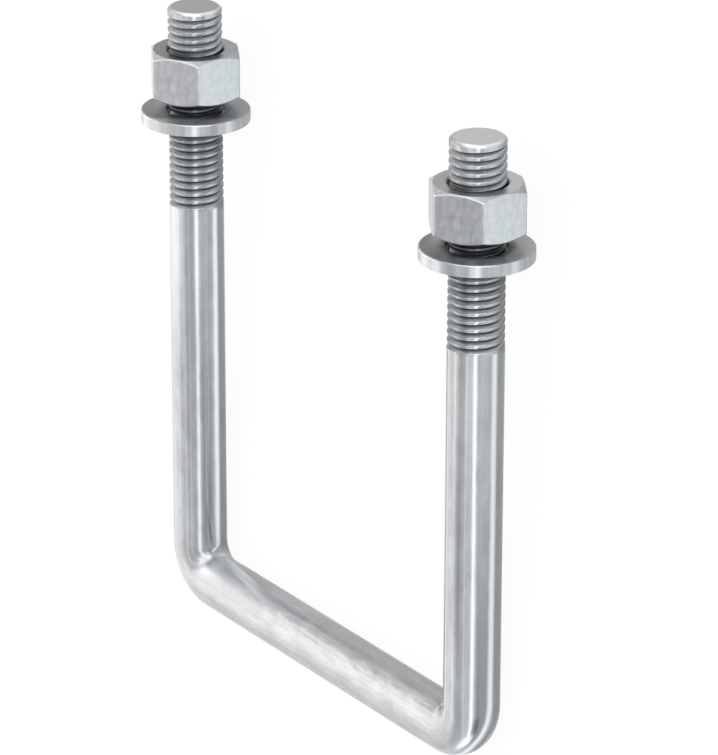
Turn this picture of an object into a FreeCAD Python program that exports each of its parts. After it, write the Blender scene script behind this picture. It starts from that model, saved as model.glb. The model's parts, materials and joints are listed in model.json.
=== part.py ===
import FreeCAD, Part
import math
import os

# Square u-bolt: one round bar bent twice at right angles into two parallel legs, each with a threaded
# end that carries a flat washer and a hexagon nut. The nuts are run on only part of the way, and each
# washer stands a little below its nut.

# Sizes in millimetres. Heights along a leg are measured from the centre line of the crossbar.

# The bent bar
bar_diameter = 12.0
leg_spacing = 104.0
overall_height = 140.0
bend_radius = 8.0

# The threaded ends, with their crests a little under the bar as a cut thread leaves them
thread_length = 45.0
thread_crest_diameter = 11.85
tip_flat_diameter = 10.7
tip_chamfer_angle = 45.0

# The hexagon nuts, chamfered at both ends and countersunk at both mouths of the bore
nut_across_flats = 18.8
nut_height = 10.6
nut_chamfer_angle = 30.0
nut_chamfer_circle = 18.2
nut_thread_clearance = 0.08
nut_countersink_diameter = 13.0
nut_below_tip = 9.6

# The flat washers
washer_diameter = 24.0
washer_bore_diameter = 13.0
washer_thickness = 2.6
washer_edge_break = 0.2
washer_below_nut = 3.1

# Radii and heights that follow from the sizes above
bar_radius = bar_diameter / 2
thread_radius = thread_crest_diameter / 2
tip_flat_radius = tip_flat_diameter / 2
tip_height = overall_height - bar_radius
thread_start = tip_height - thread_length
tip_chamfer_length = (thread_radius - tip_flat_radius) / math.tan(math.radians(tip_chamfer_angle))
thread_step = bar_radius - thread_radius

nut_top = tip_height - nut_below_tip
nut_bottom = nut_top - nut_height
nut_bore_radius = thread_radius + nut_thread_clearance
nut_corner_radius = nut_across_flats / 2 / math.cos(math.radians(30))

washer_radius = washer_diameter / 2
washer_top = nut_bottom - washer_below_nut
washer_bottom = washer_top - washer_thickness

# The bolt lies as it comes to rest, on the crossbar and on the low rims of the two washers, so its legs
# climb slightly towards their tips. The tilt is the angle at which the rim edge nearer the crossbar
# touches the ground while the crossbar touches it too.
rim_height = washer_bottom + washer_edge_break
rim_distance = math.hypot(washer_radius, rim_height)
rim_angle = math.atan2(rim_height, washer_radius)
rest_tilt = math.acos(bar_radius / rim_distance) - rim_angle

# How far the tips reach along the ground from the crossbar's centre line
tip_reach = max(
    tip_height * math.cos(rest_tilt) + tip_flat_radius * math.sin(rest_tilt),
    (tip_height - tip_chamfer_length) * math.cos(rest_tilt) + thread_radius * math.sin(rest_tilt),
)

leg_direction = FreeCAD.Vector(0, 0, 1)


def on_leg(side, height):
    """The point on a leg's centre line at a height; side is -1 for the left leg and 1 for the right."""
    return FreeCAD.Vector(side * leg_spacing / 2, 0, height)


def turned(profile, side):
    """A solid of revolution about a leg's centre line, from a closed outline of (radius, height) points."""
    points = [on_leg(side, height) + FreeCAD.Vector(radius, 0, 0) for radius, height in profile]
    outline = Part.makePolygon(points + points[:1])
    return Part.Face(outline).revolve(on_leg(side, 0), leg_direction, 360)


def bent_bar():
    """The plain bar from one thread to the other, carried along two legs, two bends and the crossbar."""
    bend_foot = bend_radius
    bend_inset = leg_spacing / 2 - bend_radius
    diagonal = bend_radius * math.sqrt(0.5)

    def bend(side):
        foot = on_leg(side, bend_foot)
        middle = FreeCAD.Vector(side * (bend_inset + diagonal), 0, bend_foot - diagonal)
        end = FreeCAD.Vector(side * bend_inset, 0, 0)
        return foot, middle, end

    left_foot, left_middle, left_end = bend(-1)
    right_foot, right_middle, right_end = bend(1)
    path = Part.Wire([
        Part.makeLine(on_leg(-1, thread_start), left_foot),
        Part.Arc(left_foot, left_middle, left_end).toShape(),
        Part.makeLine(left_end, right_end),
        Part.Arc(right_end, right_middle, right_foot).toShape(),
        Part.makeLine(right_foot, on_leg(1, thread_start)),
    ])
    section = Part.Wire(Part.makeCircle(bar_radius, on_leg(-1, thread_start), leg_direction))
    return path.makePipeShell([section], True, False)


def threaded_end(side):
    """The end of a leg at its thread's crest size, from the bar's full size to the chamfered tip."""
    return turned([
        (0, thread_start),
        (bar_radius, thread_start),
        (thread_radius, thread_start + thread_step),
        (thread_radius, tip_height - tip_chamfer_length),
        (tip_flat_radius, tip_height),
        (0, tip_height),
    ], side)


def hexagon_nut(side):
    """A hexagon prism with flats square to the crossbar, its corners turned down at both ends."""
    corners = [
        on_leg(side, nut_bottom) + FreeCAD.Vector(
            nut_corner_radius * math.cos(math.radians(30 + 60 * corner)),
            nut_corner_radius * math.sin(math.radians(30 + 60 * corner)),
            0,
        )
        for corner in range(6)
    ]
    hexagon = Part.Face(Part.makePolygon(corners + corners[:1]))
    prism = hexagon.extrude(leg_direction * nut_height)

    # The chamfers are one turned envelope, wide enough at mid height to leave the corners whole
    face_radius = nut_chamfer_circle / 2
    envelope_radius = nut_corner_radius + 1
    slope = (envelope_radius - face_radius) * math.tan(math.radians(nut_chamfer_angle))
    envelope = turned([
        (0, nut_bottom),
        (face_radius, nut_bottom),
        (envelope_radius, nut_bottom + slope),
        (envelope_radius, nut_top - slope),
        (face_radius, nut_top),
        (0, nut_top),
    ], side)

    mouth_radius = nut_countersink_diameter / 2
    mouth_depth = mouth_radius - nut_bore_radius
    bore = turned([
        (0, nut_bottom),
        (mouth_radius, nut_bottom),
        (nut_bore_radius, nut_bottom + mouth_depth),
        (nut_bore_radius, nut_top - mouth_depth),
        (mouth_radius, nut_top),
        (0, nut_top),
    ], side)
    return prism.common(envelope).cut(bore)


def flat_washer(side):
    """A flat ring with its outer edges slightly broken."""
    bore_radius = washer_bore_diameter / 2
    return turned([
        (bore_radius, washer_bottom),
        (washer_radius - washer_edge_break, washer_bottom),
        (washer_radius, washer_bottom + washer_edge_break),
        (washer_radius, washer_top - washer_edge_break),
        (washer_radius - washer_edge_break, washer_top),
        (bore_radius, washer_top),
    ], side)


def laid_down(shape):
    """The shape turned from standing on its crossbar to lying at rest, centred on the ground."""
    resting = shape.copy()
    origin = FreeCAD.Vector(0, 0, 0)
    resting.rotate(origin, FreeCAD.Vector(1, 0, 0), math.degrees(rest_tilt) - 90)
    resting.translate(FreeCAD.Vector(0, (bar_radius - tip_reach) / 2, bar_radius))
    return resting


left, right = -1, 1
pieces = {
    "u_bolt": bent_bar().fuse([threaded_end(left), threaded_end(right)]).removeSplitter(),
    "washer_left": flat_washer(left),
    "washer_right": flat_washer(right),
    "nut_left": hexagon_nut(left),
    "nut_right": hexagon_nut(right),
}

os.makedirs("parts", exist_ok=True)
for name, piece in pieces.items():
    laid_down(piece).exportStep("parts/" + name + ".step")
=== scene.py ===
import json
import math

import bpy
import bmesh
import numpy as np
from mathutils import Matrix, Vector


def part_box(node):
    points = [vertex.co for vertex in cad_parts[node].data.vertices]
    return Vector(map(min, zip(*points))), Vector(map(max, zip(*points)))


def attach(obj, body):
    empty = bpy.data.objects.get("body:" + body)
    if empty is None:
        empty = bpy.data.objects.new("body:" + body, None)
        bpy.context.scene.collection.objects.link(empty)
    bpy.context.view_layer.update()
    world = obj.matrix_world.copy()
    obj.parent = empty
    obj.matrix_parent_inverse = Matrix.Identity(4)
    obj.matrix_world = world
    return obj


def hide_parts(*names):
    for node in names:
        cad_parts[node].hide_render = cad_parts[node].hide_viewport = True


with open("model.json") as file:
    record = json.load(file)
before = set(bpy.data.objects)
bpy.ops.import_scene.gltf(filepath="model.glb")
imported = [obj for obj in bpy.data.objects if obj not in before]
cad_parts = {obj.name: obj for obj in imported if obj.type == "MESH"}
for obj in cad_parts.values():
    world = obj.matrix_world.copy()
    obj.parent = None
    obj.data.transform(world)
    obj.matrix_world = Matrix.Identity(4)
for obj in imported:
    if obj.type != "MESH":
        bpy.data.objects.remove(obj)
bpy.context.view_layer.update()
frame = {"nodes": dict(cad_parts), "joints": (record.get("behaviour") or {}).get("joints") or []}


# The bent bar
# One round bar of bright drawn steel, bent twice at right angles into a crossbar and two legs. The ends
# of the legs carry a coarse right-handed thread, cut a little under the bar's size, with chamfered tips.
bar_radius = 0.006
bend_radius = 0.008
thread_length = 0.045
thread_pitch = 0.00175
thread_crest_radius = 0.005925
thread_depth = 0.42 * thread_pitch
tip_flat_radius = 0.00535
tip_rounding = 0.0003
tip_cone_share = 0.6

# The groove's middle is at this height at this angle. It lifts out of the bar between the next two
# heights, and at the tip over the lead-in's length, which starts that far below the end face
groove_height = 0.0899
groove_angle = math.radians(-35)
run_out_top = 0.0892
run_out_end = 0.0884
lead_in_start = 0.0021
lead_in_length = 0.0010

# How many faces go round the bar, and how many rows of points each stretch has
around = 96
leg_rows = 14
bend_rows = 25
crossbar_rows = 13
cone_rows = 5

leg_direction = np.array(frame["joints"][0]["axis"])
across_direction = np.array([1.0, 0.0, 0.0])
out_direction = np.cross(leg_direction, across_direction)
bar_low, bar_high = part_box("u_bolt")
half_spacing = (bar_high.x - bar_low.x) / 2 - bar_radius
crossbar_middle = np.array([0.0, bar_low.y + bar_radius, bar_low.z + bar_radius])


def heights(node):
    """The lowest and highest point of a solid, measured along the legs from the crossbar's centre line."""
    vertices = frame["nodes"][node].data.vertices
    points = np.empty(len(vertices) * 3)
    vertices.foreach_get("co", points)
    along = (points.reshape(-1, 3) - crossbar_middle) @ leg_direction
    return along.min(), along.max()


tip_height = heights("u_bolt")[1]
washer_top = heights("washer_left")[1]
nut_top = heights("nut_left")[1]
thread_start = tip_height - thread_length
thread_foot = run_out_end - thread_pitch
chamfer_foot = tip_height - (thread_crest_radius - tip_flat_radius)
leg_travel_gain = half_spacing - 2 * bend_radius + bend_radius * math.pi / 2


def placed(points):
    """Points measured across, out of and up the standing bolt, put where the lying bolt has them: the
    crossbar's middle plus each measure times its own direction."""
    return (crossbar_middle
            + points[..., 0:1] * across_direction
            + points[..., 1:2] * out_direction
            + points[..., 2:3] * leg_direction)


def closed_piece(name, sheets, attribute):
    """One closed mesh from sheets, each a grid of points with a grid of the piece's own coordinates, and
    a fourth value if there is one. Four neighbours in a grid make a face, points that coincide are merged,
    faces are turned outwards, and flats are shaded evenly up to their rounded edges."""
    corners, faces, own, first = [], [], [], 0
    for points, coordinates in sheets:
        rows, columns = points.shape[:2]
        index = first + np.arange(rows * columns).reshape(rows, columns)
        quads = np.stack([index[:-1, :-1], index[:-1, 1:], index[1:, 1:], index[1:, :-1]], -1)
        faces.append(quads.reshape(-1, 4))
        corners.append(placed(points).reshape(-1, 3))
        spare = np.zeros((rows * columns, 4 - coordinates.shape[-1]))
        own.append(np.hstack([coordinates.reshape(rows * columns, -1), spare]))
        first += rows * columns
    mesh = bpy.data.meshes.new(name)
    mesh.from_pydata(np.concatenate(corners).tolist(), [], np.concatenate(faces).tolist())
    layer = mesh.attributes.new(attribute, "FLOAT_COLOR", "POINT")
    layer.data.foreach_set("color", np.concatenate(own).astype(np.float32).ravel())
    shell = bmesh.new()
    shell.from_mesh(mesh)
    bmesh.ops.remove_doubles(shell, verts=shell.verts, dist=1e-6)
    bmesh.ops.recalc_face_normals(shell, faces=shell.faces)
    shell.to_mesh(mesh)
    shell.free()
    mesh.shade_smooth()
    mesh.update()
    piece = bpy.data.objects.new(name, mesh)
    bpy.context.scene.collection.objects.link(piece)
    flats = piece.modifiers.new("even_flats", "WEIGHTED_NORMAL")
    flats.weight = 80
    return piece


# Where a groove's profile has its points, in pitches from its middle, how deep each one is, and how
# much painted shade it gets: the root and the flank above it are painted dark, while the other flank
# and the crest shine
groove_places = np.array([-0.5, -0.36, -0.335, -0.31, -0.21, -0.11, -0.05,
                          0.05, 0.11, 0.21, 0.31, 0.335, 0.36, 0.5])
groove_depths = np.array([0, 0, 0.03, 0.09, 0.50, 0.93, 1.02, 1.02, 0.93, 0.50, 0.09, 0.03, 0, 0])
groove_painted_shade = np.array([0, 0, 0, 0, 0.08, 0.65, 1, 1, 1, 0.5, 0, 0, 0, 0])


def thread_surface(height, angle):
    """The thread's radius and painted groove shade at a height and an angle. The radius is the crest's, less
    the groove's depth at that distance from its middle, where the middle climbs one pitch a turn. The groove
    lifts out of the bar at its end and at the tip, and a 45 degree cone turns the tip down."""
    turns = (height - groove_height) / thread_pitch - (angle - groove_angle) / (2 * np.pi)
    place = turns - np.round(turns)
    middle = height - place * thread_pitch
    depth = np.interp(place, groove_places, groove_depths) * thread_depth
    painted_groove_shade = np.interp(place, groove_places, groove_painted_shade)
    lifted = np.clip((run_out_top - middle) / (run_out_top - run_out_end), 0, 1.1)
    lead_in = np.clip((middle - (tip_height - lead_in_start)) / lead_in_length, 0, 1.1)
    depth = np.maximum(depth - np.maximum(lifted, lead_in) * thread_depth, 0)
    shoulder = bar_radius - thread_crest_radius
    crest = bar_radius - np.clip((height - thread_start) / shoulder, 0, 1) * shoulder
    painted_groove_shade = painted_groove_shade * np.clip(depth / thread_depth * 4, 0, 1)
    return np.minimum(crest - depth, tip_flat_radius + tip_height - height), painted_groove_shade


def leg_points(side, radius, angle, height, painted_groove_shade):
    """Grid points about a leg, with coordinates along the bar: inwards, out of the plane of the bolt, and
    the way travelled from the crossbar's middle, as if the bar were straight; then the painted groove shade."""
    inward = -side * radius * np.cos(angle)
    outward = radius * np.sin(angle)
    travelled = side * (height + leg_travel_gain)
    points = np.stack([side * half_spacing + radius * np.cos(angle), outward, height], -1)
    return points, np.stack([inward, outward, travelled, painted_groove_shade], -1)


def thread(side):
    """The threaded stretch: rows that climb like the groove, cut off level at both ends of the stretch."""
    turns_below = math.floor((thread_foot - groove_height) / thread_pitch) - 1
    turns_above = math.ceil((tip_height - groove_height) / thread_pitch) + 2
    rows = (np.arange(turns_below, turns_above)[:, None] + groove_places[:-1]).ravel()
    angle = np.linspace(0, 2 * np.pi, around + 1)[None, :] + 0 * rows[:, None]
    height = groove_height + thread_pitch * (rows[:, None] + (angle - groove_angle) / (2 * np.pi))
    height = np.clip(height, thread_foot, chamfer_foot)
    radius, painted_groove_shade = thread_surface(height, angle)
    return leg_points(side, radius, angle, height, painted_groove_shade)


def tip(side):
    """The chamfer and the flat end face: level rows up the cone, a rounded edge whose points lie on the
    curve that leaves the cone and joins the face, then rings towards the middle."""
    angle = np.linspace(0, 2 * np.pi, around + 1)[None, :]
    climb = np.linspace(0, tip_cone_share, cone_rows)[:, None] + 0 * angle
    cone_height = chamfer_foot + climb * (tip_height - chamfer_foot)
    cone_radius, painted_groove_shade = thread_surface(cone_height, angle + 0 * climb)
    curve = np.array([0.25, 0.5, 0.75, 1.0])[:, None] + 0 * angle
    edge_radius = ((1 - curve) ** 2 * cone_radius[-1] + 2 * curve * (1 - curve) * tip_flat_radius
                   + curve ** 2 * (tip_flat_radius - tip_rounding))
    edge_height = (1 - curve) ** 2 * cone_height[-1] + (1 - (1 - curve) ** 2) * tip_height
    face_share = np.array([0.8, 0.4, 0.0])[:, None]
    radius = np.concatenate([cone_radius, edge_radius, edge_radius[-1:] * face_share])
    height = np.concatenate([cone_height, edge_height, tip_height + 0 * angle * face_share])
    painted_groove_shade = np.concatenate([painted_groove_shade, 0 * edge_radius, 0 * angle * face_share])
    return leg_points(side, radius, angle + 0 * height, height, painted_groove_shade)


def bent_tube():
    """The plain bar: circles carried down the left leg, round the bends and up the right leg. A heading
    turns from down to level to up, and each circle stands square to it."""
    leg = np.linspace(thread_foot, bend_radius, leg_rows)
    turn = np.linspace(0, np.pi / 2, bend_rows)
    level = np.linspace(-1, 1, crossbar_rows + 2)[1:-1] * (half_spacing - bend_radius)
    bend_x = half_spacing - bend_radius * (1 - np.cos(turn))
    bend_z = bend_radius * (1 - np.sin(turn))
    bend_travel = half_spacing - bend_radius + bend_radius * (np.pi / 2 - turn)
    leg_travel = leg + leg_travel_gain
    x = np.concatenate([np.full(len(leg), -half_spacing), -bend_x[1:], level,
                        bend_x[:0:-1], np.full(len(leg), half_spacing)])
    z = np.concatenate([leg, bend_z[1:], 0 * level, bend_z[:0:-1], leg[::-1]])
    heading = np.concatenate([np.full(len(leg), -np.pi / 2), turn[1:] - np.pi / 2, 0 * level,
                              np.pi / 2 - turn[:0:-1], np.full(len(leg), np.pi / 2)])
    travelled = np.concatenate([-leg_travel, -bend_travel[1:], level, bend_travel[:0:-1], leg_travel[::-1]])
    angle = np.linspace(0, 2 * np.pi, around + 1)[None, :]
    inward = bar_radius * np.cos(angle) + 0 * x[:, None]
    outward = bar_radius * np.sin(angle) + 0 * x[:, None]
    points = np.stack([x[:, None] - np.sin(heading)[:, None] * inward, outward,
                       z[:, None] + np.cos(heading)[:, None] * inward], -1)
    return points, np.stack([inward, outward, travelled[:, None] + 0 * inward, 0 * inward], -1)


class Lead:
    """One output of a node. Sums, differences and products of leads and numbers add Math nodes, maths()
    adds the other Math nodes, and node() adds any node: its type, its settings, then its sockets' values
    or leads."""

    def __init__(self, tree, socket=None):
        self.tree = tree
        self.socket = socket

    def node(self, kind, settings=None, sockets=None, output=0):
        made = self.tree.nodes.new(kind)
        for name, value in (settings or {}).items():
            setattr(made, name, value)
        for name, value in (sockets or {}).items():
            if isinstance(value, Lead):
                self.tree.links.new(value.socket, made.inputs[name])
            else:
                made.inputs[name].default_value = value
        return Lead(self.tree, made.outputs[output] if len(made.outputs) else None)

    def maths(self, operation, *values):
        return self.node("ShaderNodeMath", {"operation": operation}, dict(enumerate(values)))

    def __add__(self, other):
        return self.maths("ADD", self, other)

    def __sub__(self, other):
        return self.maths("SUBTRACT", self, other)

    def __rsub__(self, other):
        return self.maths("SUBTRACT", other, self)

    def __mul__(self, other):
        return self.maths("MULTIPLY", self, other)

    __radd__ = __add__
    __rmul__ = __mul__


def ramp(lead, low, high, bottom=0.0, top=1.0):
    """A smooth step from bottom to top as the lead goes from low to high."""
    return lead.node("ShaderNodeMapRange", {"interpolation_type": "SMOOTHSTEP"},
                     {0: lead, 1: low, 2: high, 3: bottom, 4: top})


def grain(coordinates, size, detail=3.0):
    """Noise whose spots have the given size in metres along each of the piece's own directions."""
    stretched = coordinates.node("ShaderNodeMapping", None,
                                 {"Vector": coordinates, "Scale": [1 / length for length in size]})
    return coordinates.node("ShaderNodeTexNoise", None, {"Vector": stretched, "Scale": 1.0, "Detail": detail})


def blended(lead, under, over):
    """The first colour where the lead is 0 and the second where it is 1; each is a lead or a triple."""
    under, over = (tint if isinstance(tint, Lead) else (*tint, 1) for tint in (under, over))
    return lead.node("ShaderNodeMix", {"data_type": "RGBA"}, {0: lead, 6: under, 7: over}, 2)


def line(lead, place, core, edge):
    """A soft line about a place on the lead: 1 up to the core distance from it and 0 past the edge one."""
    return 1 - ramp(lead.maths("ABSOLUTE", lead - place), core, edge)


def stretch(lead, start, full, fading, end):
    """1 along a stretch of the lead, rising smoothly from start to full and falling from fading to end."""
    return ramp(lead, start, full) * (1 - ramp(lead, fading, end))


def new_material(name):
    """A new material and a lead of its node tree."""
    material = bpy.data.materials.new(name)
    material.use_nodes = True
    return material, Lead(material.node_tree)


def own_coordinates(tree, attribute):
    """Leads of a piece's own coordinates: the three together, each of them alone, and the fourth value."""
    together = tree.node("ShaderNodeAttribute", {"attribute_name": attribute}, None, 1)
    alone = [tree.node("ShaderNodeSeparateXYZ", None, {0: together}, part) for part in range(3)]
    return together, *alone, tree.node("ShaderNodeAttribute", {"attribute_name": attribute}, None, 3)


def bare_metal(material, tree, shade, smear, bumps, depth):
    """The material as a bare metal of that shade and roughness, with bumps of that depth in metres."""
    sockets = material.node_tree.nodes["Principled BSDF"].inputs
    sockets["Metallic"].default_value = 1.0
    relief = tree.node("ShaderNodeBump", None, {"Strength": 1.0, "Distance": depth, "Height": bumps})
    for name, lead in (("Base Color", shade), ("Roughness", smear), ("Normal", relief)):
        tree.tree.links.new(lead.socket, sockets[name])
    return material


# The finishes change along a direction that is partly across the bolt and partly out of its plane
slant_across = 0.57
slant_outward = 0.82
# Colours of the painted highlights and the painted shade
painted_highlight = (0.93, 0.95, 0.97)
painted_shade_grey = (0.20, 0.20, 0.20)


def drawn_steel():
    """Bright drawn bar. Fine lines run along it, and soft mottling and dents, stronger on the crossbar. A
    painted highlight streak runs down each leg's side and turns off round the bend. Inside the left bend is a
    painted highlight patch with a spot of painted shade. The legs have stretches of painted shade and
    painted light, and a painted cooler tint on their right-hand front. The thread has painted shade in its
    grooves and down its sides, painted shadow from below the washer up to the top of the nut, a painted
    highlight on the collar at its tip and a matt end face, painted darker on the left leg."""
    material, tree = new_material("drawn_steel")
    bar, inward, outward, travelled, painted_groove_shade = own_coordinates(tree, "bar")
    side = tree.maths("SIGN", travelled)
    leftwards = travelled * -1
    from_middle = tree.maths("ABSOLUTE", travelled)
    height = from_middle - leg_travel_gain
    sideways = outward * slant_outward - inward * side * slant_across
    radius = tree.maths("SQRT", inward * inward + outward * outward)
    on_leg = ramp(from_middle, 0.040, 0.050)
    in_bend = 1 - ramp(from_middle, 0.050, 0.058)
    on_thread = ramp(height, thread_start - 0.0004, thread_start + 0.0002)
    on_cone = ramp(height, chamfer_foot - 0.0001, chamfer_foot + 0.0001)
    on_tip = ramp(height, tip_height - 2e-5, tip_height - 1e-5)
    at_tip = ramp(height, nut_top, nut_top + 0.001)

    # Mottled and lined metal, with painted light and shade: paler and darker stretches and a painted cooler
    # tint on its right-hand front
    clouds = grain(bar, (0.0025, 0.0025, 0.006))
    lines = grain(bar, (0.0005, 0.0005, 0.05))
    specks = grain(bar, (0.0006, 0.0006, 0.001), 4.0)
    tone = ramp(clouds * 0.45 + lines * 0.4 + specks * 0.15, 0.3, 0.7)
    # Painted light and shade: lighter and darker quarters of the legs, differing between the two legs, and a
    # darker top on the crossbar's right half
    painted_brightness = (inward * outward * 25000 - side * ramp(outward * -1, 0.0046, 0.0056, 0, 0.2)) * on_leg
    painted_brightness = painted_brightness - ramp(travelled, -0.012, 0, 0, 0.5) * ramp(inward, 0.0054, 0.0058) * (1 - on_leg)
    # A painted pale line low on the left leg, and a painted cooler tint on the legs' right-hand front
    pale_foot = line(sideways, -0.0019, 0.0005, 0.0012) * stretch(leftwards, 0.052, 0.058, 0.070, 0.090)
    painted_cool_tint = ramp(sideways, -0.0020, 0.0010) * on_leg
    shade = blended(tone + painted_brightness + pale_foot * 0.6,
                    blended(painted_cool_tint, (0.37, 0.37, 0.374), (0.361, 0.37, 0.379)),
                    blended(painted_cool_tint, (0.51, 0.51, 0.516), (0.498, 0.51, 0.523)))

    # A painted highlight patch inside the left bend
    by_bend = ramp(inward, 0, 0.002) * (1 - ramp(leftwards, 0.046, 0.052))
    patch = line(outward + travelled * 0.156, -0.0062, 0.0005, 0.0015) * ramp(leftwards, 0.019, 0.035, 0, 0.9)
    in_corner = ramp(leftwards, 0.034, 0.046, 0, 0.5) * ramp(outward, -0.0057, -0.0042) * (1 - patch)
    shade = blended((in_corner + patch) * by_bend, shade, (0.96, 0.96, 0.97))

    # Stretches of painted shade and painted light on the legs, and painted shade along their edges
    shaded_foot = (stretch(travelled, 0.044, 0.052, 0.060, 0.115)
                 * stretch(outward, -0.0033, -0.0024, -0.0010, -0.0002))
    shade = blended(shaded_foot * 0.65, shade, painted_shade_grey)
    shaded_side = (stretch(leftwards, 0.054, 0.060, 0.070, 0.140) * ramp(inward, 0, 0.002)
                 * stretch(outward, -0.0031, -0.0022, -0.0007, -0.0002))
    shaded_band = (stretch(travelled, 0.060, 0.085, 0.100, 0.125)
                 * stretch(sideways, -0.0048, -0.0041, -0.0034, -0.0026))
    shade = blended((shaded_side + shaded_band) * 0.45, shade, painted_shade_grey)
    # Painted light high up on the legs, and a painted pale line on the left leg
    bright_top = (line(sideways + side * 0.0008, -0.0005, 0.0006, 0.0013) * (0.85 + side * 0.15)
                  + ramp(outward * -1, 0.0052, 0.0057, 0, 1.3) * ramp(leftwards, 0, 0.001))
    bright_top = bright_top * ramp(from_middle, 0.100, 0.130) * (1 - on_thread)
    shade = blended(bright_top * 0.3, shade, (0.80, 0.81, 0.82))
    pale_line = (line(outward + ramp(leftwards, 0.056, 0.070, 0.0004, 0.0016), 0, 0.0001, 0.0006)
                 * ramp(leftwards, 0.052, 0.058, 0, 0.35))
    shade = blended(pale_line * (1 - on_thread), shade, painted_highlight)
    # Painted shade along the legs' edges
    edges = (ramp(sideways, 0.0042, 0.0048) * (0.33 - side * 0.13)
             + ramp(sideways * -1, 0.0050, 0.0054) * (0.15 - side * 0.15))
    shade = blended(edges * ramp(from_middle, 0.050, 0.056), shade, painted_shade_grey)

    # A painted highlight streak, a painted shadow line beside it in the right bend, and a spot of
    # painted shade in the left bend
    streak_place = outward - 0.00065 + side * 0.0002 + in_bend * 0.0025 + (clouds - 0.5) * 0.0003
    highlight_streak = line(streak_place, 0, 0.0002, 0.0010) * ramp(from_middle, 0.044, 0.048) * (1 - on_thread)
    highlight_streak = highlight_streak * (1 - in_bend * ramp(leftwards, 0.040, 0.044, 0, 0.6))
    shadow = line(streak_place, 0.0019, 0.0003, 0.0008) * in_bend * ramp(travelled, 0.042, 0.046)
    shade = blended(shadow * 0.85, shade, (0.10, 0.10, 0.10))
    shade = blended(highlight_streak * (0.92 - side * 0.08), shade, painted_highlight)
    shaded_spot = (stretch(leftwards, 0.041, 0.045, 0.052, 0.057) * line(outward, -0.0020, 0.0008, 0.0020)
                 * ramp(inward, 0, 0.002))
    shade = blended(shaded_spot * 0.55, shade, (0.22, 0.22, 0.22))

    # The thread's painted light and shade: painted highlights on its flanks and collar, painted shade down
    # its sides, a painted glint, painted shade in its roots, and painted shadow from below the washer up to
    # the nut's top
    # Painted highlight on the flanks
    on_flank = (1 - ramp(radius, 0.00565, 0.0058)) * on_thread * (1 - on_cone * 0.45)
    shade = blended(on_flank, shade, (0.81, 0.83, 0.85))
    # A painted highlight on the collar below the tip
    collar = ramp(height, tip_height - 0.0024, tip_height - 0.0018)
    shade = blended(collar * 0.3, shade, (0.80, 0.805, 0.81))
    # Painted shade down the thread's sides and at its front
    thread_shade = ((1 - line(sideways, 0.0004, 0.0034, 0.0060)) * (0.80 - at_tip * 0.1)
            + line(sideways + side * 0.00055, -0.00195, 0.0003, 0.0011) * (1 - at_tip) * 0.28
            + line(sideways, 0, 0.0003, 0.0014) * (side * 0.06 + 0.06 + at_tip * 0.2))
    shade = blended(thread_shade * on_thread, shade, (0.14, 0.145, 0.15))
    glint = line(sideways, 0.0030, 0.0004, 0.0014)
    shade = blended(glint * on_thread * 0.16, shade, painted_highlight)
    # Painted shade in the roots
    root = blended(ramp(sideways * -1, 0.0008, 0.0032), (0.037, 0.039, 0.042), (0.056, 0.060, 0.064))
    # Painted shade in the grooves
    shade = blended(painted_groove_shade * (1 - at_tip * 0.07), shade, root)
    # Painted shadow below the washer and up to the nut's top
    shade_by_washer = (ramp(height, washer_top - 0.012, washer_top - 0.002, 0, 0.4)
               + ramp(height, washer_top - 0.0005, washer_top, 0, 0.45))
    shade_by_washer = shade_by_washer * (1 - ramp(height, nut_top - 0.0001, nut_top + 0.0002)) * on_thread
    shade = blended(shade_by_washer, shade, (0.05, 0.052, 0.055))
    # The matt end face, painted darker on the left leg
    shade = blended(on_tip, shade, blended(side, (0.31, 0.31, 0.315), (0.48, 0.48, 0.485)))

    left_spot = by_bend * ramp(leftwards, 0.010, 0.030)
    smear = 0.28 - on_leg * 0.12 + tone * 0.05 + on_tip * 0.15 + on_flank * 0.18 + left_spot * 0.1
    bumps = clouds * (3.2 - on_leg * 3.0) * (1 - left_spot * 0.6) + lines * 0.05 + specks * 0.03
    return bare_metal(material, tree, shade, smear, bumps, 0.0001)


bar = closed_piece("bent_bar", [bent_tube(), thread(-1), tip(-1), thread(1), tip(1)], "bar")
bar.data.materials.append(drawn_steel())
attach(bar, "bolt")
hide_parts("u_bolt")


# The flat washers
# Two plain flat washers of plated steel, stamped from sheet: the upper edge is rounded by the punch and
# the lower one is sharper. Each hangs loose on its leg, a little below the nut.
washer_bore_radius = 0.0065
washer_radius = 0.012
washer_upper_edge = 0.0004
washer_lower_edge = 0.0002
washer_around = 144


def turned_piece(name, side, middle, outline, edges, columns):
    """A ring turned about a leg. The outline's corners, one row each of radius and height, are rounded by
    taking three points on the curve that leaves one side and joins the next, an edge length from the
    corner, and the rounded outline is swung through a full turn."""
    before = np.roll(outline, 1, 0) - outline
    after = np.roll(outline, -1, 0) - outline
    reach = edges[:, None, None]
    leave = outline + reach * before / np.linalg.norm(before, axis=-1, keepdims=True)
    join = outline + reach * after / np.linalg.norm(after, axis=-1, keepdims=True)
    rounded = np.stack([leave, 0.5625 * leave + 0.375 * outline + 0.0625 * join,
                        0.25 * leave + 0.5 * outline + 0.25 * join,
                        0.0625 * leave + 0.375 * outline + 0.5625 * join, join], 1)
    rounded = rounded.reshape(-1, *outline.shape[1:])
    rounded = np.concatenate([rounded, rounded[:1]])
    radius = rounded[..., 0]
    height = rounded[..., 1]
    angle = columns[None, :] + 0 * radius
    own = np.stack([radius * np.cos(angle), radius * np.sin(angle), height - middle, side + 0 * angle], -1)
    points = own[..., :3] + np.array([side * half_spacing, 0, middle])
    return closed_piece(name, [(points, own)], "own")


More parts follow.
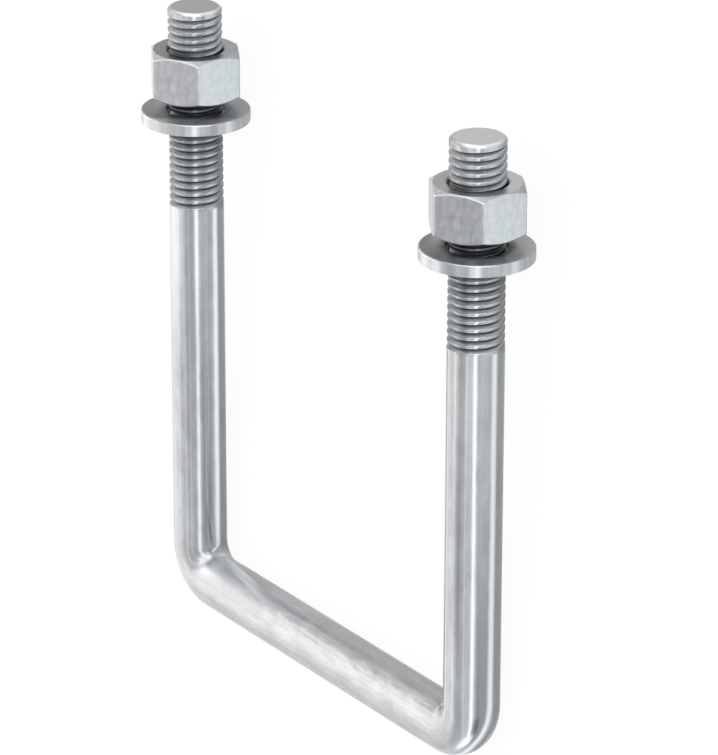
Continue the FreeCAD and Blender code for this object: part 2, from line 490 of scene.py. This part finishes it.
def washer(name, side):
    """A square-cornered ring with its four corners rounded."""
    bottom, top = heights(name)
    outline = np.array([[washer_bore_radius, bottom], [washer_radius, bottom],
                        [washer_radius, top], [washer_bore_radius, top]])
    edges = np.array([washer_lower_edge, washer_lower_edge, washer_upper_edge, washer_upper_edge])
    columns = np.linspace(0, 2 * np.pi, washer_around + 1)
    outline = outline[:, None, :] + 0 * columns[None, :, None]
    return turned_piece("flat_" + name, side, (bottom + top) / 2, outline, edges, columns)


def stamped_steel():
    """Bright plated sheet: rolled faces with painted light and shade, brightest across the middle, darker to
    one side and towards the bore, and painted darker on the left washer apart from one painted bright spot,
    and a bright edge with the same painted highlight streak as the legs."""
    material, tree = new_material("stamped_steel")
    own, across, outward, _, side = own_coordinates(tree, "own")
    radius = tree.maths("SQRT", across * across + outward * outward)
    sideways = across * slant_across + outward * slant_outward
    clouds = grain(own, (0.002, 0.002, 0.004))
    lines = grain(own, (0.0014, 0.0014, 0.02), 1.0)
    edge = ramp(radius, washer_radius - 0.00035, washer_radius - 0.0002)
    tone = ramp(clouds * (1 - edge * 0.6) + lines * edge * 0.6, 0.3, 0.7)
    # Painted light and shade on the faces: dark to one side, brightest across the middle, darker to the other
    face = blended(ramp(sideways, -0.011, -0.001), (0.18, 0.182, 0.185), (0.90, 0.905, 0.91))
    face = blended(ramp(sideways, 0.003, 0.009, 0, 0.6), face, (0.45, 0.455, 0.46))
    # Painted shade towards the bore, set differently on the two washers
    from_bore = (ramp(radius, 0.0067, 0.0090) * 0.85 + tone * 0.2 - 0.05) * (0.85 + side * 0.15)
    shade = blended(from_bore, blended(side, (0.20, 0.202, 0.205), (0.10, 0.102, 0.105)), face)
    # A painted bright spot at the front of the left washer
    left_spot = ramp(across * slant_outward - outward * slant_across, 0.0060, 0.0085) * (1 - ramp(side, 0, 1))
    shade = blended(left_spot * 0.85, shade, (0.90, 0.905, 0.91))
    shade = blended(edge, shade, blended(tone, (0.41, 0.415, 0.42), (0.54, 0.55, 0.555)))
    # A painted highlight streak along the edge
    highlight_streak = line(outward, 0.0008, 0.0002, 0.0016) * edge
    shade = blended(highlight_streak * 0.6, shade, (0.84, 0.86, 0.875))
    return bare_metal(material, tree, shade, 0.40 - edge * 0.18 + tone * 0.06, tone, 0.00002)


washer_finish = stamped_steel()
for name, side in (("washer_left", -1), ("washer_right", 1)):
    ring = washer(name, side)
    ring.data.materials.append(washer_finish)
    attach(ring, name)
    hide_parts(name)


# The hexagon nuts
# Two cold-formed hexagon nuts of plated steel, their corners turned down at both ends by one cone each,
# and their bores countersunk. The thread in the bores is hidden at rest, so they are plain here.
nut_across_flats = 0.0188
nut_chamfer_angle = math.radians(30)
nut_chamfer_radius = 0.0091
nut_bore_radius = 0.006005
nut_countersink_radius = 0.0065
nut_corner_trim = 0.0001
nut_edge = 0.00012
nut_half_height = 0.0053
nut_flat_columns = 11


def nut(name, side):
    """A hexagon whose radius is half the distance across flats over the cosine of the angle from the
    nearest flat's middle, trimmed at the corners. The chamfers rise with the radius past their circle."""
    bottom, top = heights(name)
    apothem = nut_across_flats / 2
    corner_radius = apothem / math.cos(math.radians(30)) - nut_corner_trim
    trim_angle = math.acos(apothem / corner_radius)
    in_flat = np.concatenate([np.linspace(-trim_angle, trim_angle, nut_flat_columns), [math.radians(30)]])
    columns = (np.radians(60) * np.arange(6)[:, None] + in_flat).ravel()
    columns = np.append(columns, columns[0] + 2 * np.pi)
    from_flat = columns - np.radians(60) * np.round(columns / np.radians(60))
    side_radius = np.minimum(apothem / np.cos(from_flat), corner_radius)
    rise = (side_radius - nut_chamfer_radius) * math.tan(nut_chamfer_angle)
    mouth = nut_countersink_radius - nut_bore_radius
    even = np.ones_like(columns)
    outline = np.stack([
        np.stack([nut_countersink_radius * even, bottom * even], -1),
        np.stack([nut_chamfer_radius * even, bottom * even], -1),
        np.stack([side_radius, bottom + rise], -1),
        np.stack([side_radius, top - rise], -1),
        np.stack([nut_chamfer_radius * even, top * even], -1),
        np.stack([nut_countersink_radius * even, top * even], -1),
        np.stack([nut_bore_radius * even, (top - mouth) * even], -1),
        np.stack([nut_bore_radius * even, (bottom + mouth) * even], -1),
    ])
    return turned_piece("hexagon_" + name, side, (bottom + top) / 2, outline, np.full(8, nut_edge), columns)


def formed_steel():
    """Bright plated steel: finely mottled flats, of which the one that faces along the crossbar is painted
    brightest, with a painted pale strip beside one corner. The chamfers are painted dark below and have a
    painted highlight along one upper edge, the end faces are painted darker to one side and on the left
    nut, and the countersink and the bore are painted dark as shade."""
    material, tree = new_material("formed_steel")
    own, across, outward, along, side = own_coordinates(tree, "own")
    radius = tree.maths("SQRT", across * across + outward * outward)
    sideways = across * slant_across + outward * slant_outward
    bright_side = ramp(sideways, -0.009, 0.009)
    clouds = grain(own, (0.0012, 0.0012, 0.0016), 4.0)
    lines = grain(own, (0.0004, 0.0004, 0.006))
    tone = ramp(clouds * 0.65 + lines * 0.35, 0.3, 0.7)
    shade = blended(tone, (0.37, 0.365, 0.375), (0.49, 0.485, 0.495))
    # A painted highlight on the flat that faces along the crossbar, and a painted pale strip by one corner
    painted_bright_flat = blended(tone, (0.60, 0.635, 0.65), (0.72, 0.755, 0.77))
    shade = blended(ramp(across, 0.00933, 0.00939), shade, painted_bright_flat)
    shade = blended(1 - ramp(sideways, -0.0092, -0.0090), shade, (0.52, 0.52, 0.525))
    slope = math.tan(nut_chamfer_angle)
    from_end = nut_half_height - tree.maths("ABSOLUTE", along)
    on_chamfer = ramp(radius * slope - from_end,
                      nut_chamfer_radius * slope - 0.0002, nut_chamfer_radius * slope - 0.0001)
    upper = ramp(along, -0.001, 0.001)
    # Painted shade on the lower chamfers, and a painted highlight along one upper edge
    shade = blended(on_chamfer * (1 - upper), shade, (0.20, 0.202, 0.205))
    painted_brightness = ramp(across * 0.5 - outward * 0.866, 0.0089, 0.0092) * on_chamfer * upper * (1 - bright_side * 0.8)
    shade = blended(painted_brightness, shade, (0.63, 0.635, 0.64))
    # End faces painted darker to one side and on the left nut
    face = blended(bright_side * 0.55 + tone * 0.2 + side * 0.25, (0.14, 0.141, 0.143), (0.56, 0.565, 0.57))
    shade = blended(1 - ramp(from_end, 0.00001, 0.00004), shade, face)
    # Painted shade in the countersink and the bore
    shade = blended((1 - ramp(radius, 0.0062, 0.0068)) * 0.9, shade, (0.05, 0.053, 0.056))
    return bare_metal(material, tree, shade, 0.28 + tone * 0.08, tone, 0.00002)


nut_finish = formed_steel()
for name, side in (("nut_left", -1), ("nut_right", 1)):
    hexagon = nut(name, side)
    hexagon.data.materials.append(nut_finish)
    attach(hexagon, name)
    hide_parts(name)


# The floor
# A plain pale floor under the bolt. The camera sees it near white, with a trace of the bolt's shadow, and
# the metal mirrors it as a blend of that white and the floor as it is lit.
floor_reach = 3.0
floor_colour = (0.66, 0.66, 0.66, 1)
floor_white = 1.02
floor_glow_seen = 0.92
floor_glow_mirrored = 0.32

floor_mesh = bpy.data.meshes.new("floor")
floor_corners = ((-1, -1), (1, -1), (1, 1), (-1, 1))
floor_mesh.from_pydata([(x * floor_reach, y * floor_reach, 0) for x, y in floor_corners], [], [(0, 1, 2, 3)])
floor = bpy.data.objects.new("floor", floor_mesh)
bpy.context.scene.collection.objects.link(floor)

floor_paint = bpy.data.materials.new("floor_paint")
floor_paint.use_nodes = True
floor_paint.node_tree.nodes.clear()
tree = Lead(floor_paint.node_tree)
camera_ray = tree.node("ShaderNodeLightPath", None, None, "Is Camera Ray")
glossy_ray = tree.node("ShaderNodeLightPath", None, None, "Is Glossy Ray")
clear_ray = tree.node("ShaderNodeLightPath", None, None, "Is Transmission Ray")
glow_share = camera_ray * floor_glow_seen + (glossy_ray + clear_ray) * floor_glow_mirrored
matt = tree.node("ShaderNodeBsdfDiffuse", None, {"Color": floor_colour})
glow = tree.node("ShaderNodeEmission", None, {"Color": (1, 1, 1, 1), "Strength": floor_white})
mixed = tree.node("ShaderNodeMixShader", None, {0: glow_share, 1: matt, 2: glow})
tree.node("ShaderNodeOutputMaterial", None, {"Surface": mixed})
floor_mesh.materials.append(floor_paint)


# The studio light
# A pale grey room painted on the world, with a broad soft light on the left, others past the tips and
# before the crossbar, and narrow strips along the legs on the right. Lamps light the floor from overhead
# and from the left, and a small panel hangs over the left leg.
room_level = 0.80
horizon_gain = 0.25
room_left_tint = (0.995, 1.0, 1.005)
room_right_tint = (0.955, 1.0, 1.035)

# Strips, by angle, half width and level, and soft lights, by turn, lift, core, edge and level. The turn
# goes from the right-hand side round past the tips, and a level below nothing darkens the room there
strips = ((35, 6.5, 1.5), (70, 3.5, 0.45), (56, 12, 0.13))
soft_lights = ((-168, 25, 25, 54, 0.75),
               (168, 36, 8, 34, 0.5),
               (62, 8, 28, 60, 1.2),
               (-85, -2, 17, 24, 1.0),
               (-46, 0, 10, 22, -0.5),
               (139, 2, 3, 15, 0.25),
               (-136, 8, 8, 20, -0.4),
               (-148, 30, 6, 20, -0.14))


def soft_light(direction, turn, lift, core, edge, level):
    """The brightness of a round soft light on the world: full inside its core angle and fading to
    nothing at its edge angle, both measured from where it hangs, all in degrees."""
    turn, lift = math.radians(turn), math.radians(lift)
    towards = (math.cos(lift) * math.cos(turn), math.cos(lift) * math.sin(turn), math.sin(lift))
    facing = direction.node("ShaderNodeVectorMath", {"operation": "DOT_PRODUCT"},
                            {0: direction, 1: towards}, "Value")
    return ramp(facing, math.cos(math.radians(edge)), math.cos(math.radians(core))) * level


def strip_light(around_legs, angle, half_width, level):
    """The brightness of a strip that runs along the legs' direction at an angle from the right-hand
    horizon, with soft edges; the angles are in degrees."""
    middle, core, edge = (math.radians(turn) for turn in (angle, half_width * 0.5, half_width * 1.5))
    return line(around_legs, middle, core, edge) * level


world = bpy.data.worlds.new("studio")
bpy.context.scene.world = world
world.use_nodes = True
world.node_tree.nodes.clear()
tree = Lead(world.node_tree)
direction = tree.node("ShaderNodeTexCoord", None, None, "Generated")
sideways = tree.node("ShaderNodeSeparateXYZ", None, {0: direction}, 0)
upwards = tree.node("ShaderNodeSeparateXYZ", None, {0: direction}, 2)
near_horizon = 1 - tree.maths("ABSOLUTE", upwards)
around_legs = tree.maths("ARCTAN2", upwards, sideways)
level = room_level + near_horizon * near_horizon * horizon_gain
for strip in strips:
    level = level + strip_light(around_legs, *strip)
for soft in soft_lights:
    level = level + soft_light(direction, *soft)
tint = blended(ramp(sideways, -0.6, 0.2), room_left_tint, room_right_tint)
camera_ray = tree.node("ShaderNodeLightPath", None, None, "Is Camera Ray")
tint = blended(camera_ray, tint, (1, 1, 1))
level = level * (1 - camera_ray) + camera_ray
sky = tree.node("ShaderNodeBackground", None, {"Color": tint, "Strength": level})
tree.node("ShaderNodeOutputWorld", None, {"Surface": sky})

# The lamps' names, places, sizes and powers, and whether the metal mirrors them
lamps = (("overhead_lamp", (0.1, 0.1, 1.8), (2.0, 2.0), 6.0, False),
         ("low_lamp", (-0.3, -0.02, 0.2), (0.2, 0.2), 0.3, False),
         ("left_panel", (-0.064, -0.03, 0.196), (0.058, 0.35), 0.028, True))
for name, place, size, power, mirrored in lamps:
    lamp_data = bpy.data.lights.new(name, "AREA")
    lamp_data.shape = "RECTANGLE"
    lamp_data.size, lamp_data.size_y = size
    lamp_data.energy = power
    lamp = bpy.data.objects.new(name, lamp_data)
    lamp.location = place
    lamp.visible_glossy = mirrored
    bpy.context.scene.collection.objects.link(lamp)


# The camera
# It looks at the standing bolt from the front right corner and a little above, as in the photograph, so
# it lies over with the bolt. Its angles and aim are measured on the standing bolt.
view_azimuth = math.radians(55.072)
view_elevation = math.radians(22.072)
view_roll = math.radians(0.132)
view_distance = 1.0101
view_aim = np.array([0.01051, 0.0, 0.06803])
view_lens = 227.47

back = np.array([math.sin(view_azimuth) * math.cos(view_elevation),
                 -math.cos(view_azimuth) * math.cos(view_elevation),
                 math.sin(view_elevation)])
level_right = np.array([math.cos(view_azimuth), math.sin(view_azimuth), 0.0])
level_up = np.cross(back, level_right)
right = level_right * math.cos(view_roll) + level_up * math.sin(view_roll)
up = np.cross(back, right)
camera_data = bpy.data.cameras.new("camera")
camera_data.lens = view_lens
camera_data.sensor_width = 36
camera_data.clip_start = 0.05
camera = bpy.data.objects.new("camera", camera_data)
axes = np.eye(4)
axes[:3, 3] = placed(view_aim + back * view_distance)
for column, measured in enumerate((right, up, back)):
    axes[:3, column] = placed(measured) - crossbar_middle
camera.matrix_world = Matrix(axes.tolist())
bpy.context.scene.collection.objects.link(camera)
bpy.context.scene.camera = camera
bpy.context.scene.view_settings.view_transform = "Standard"
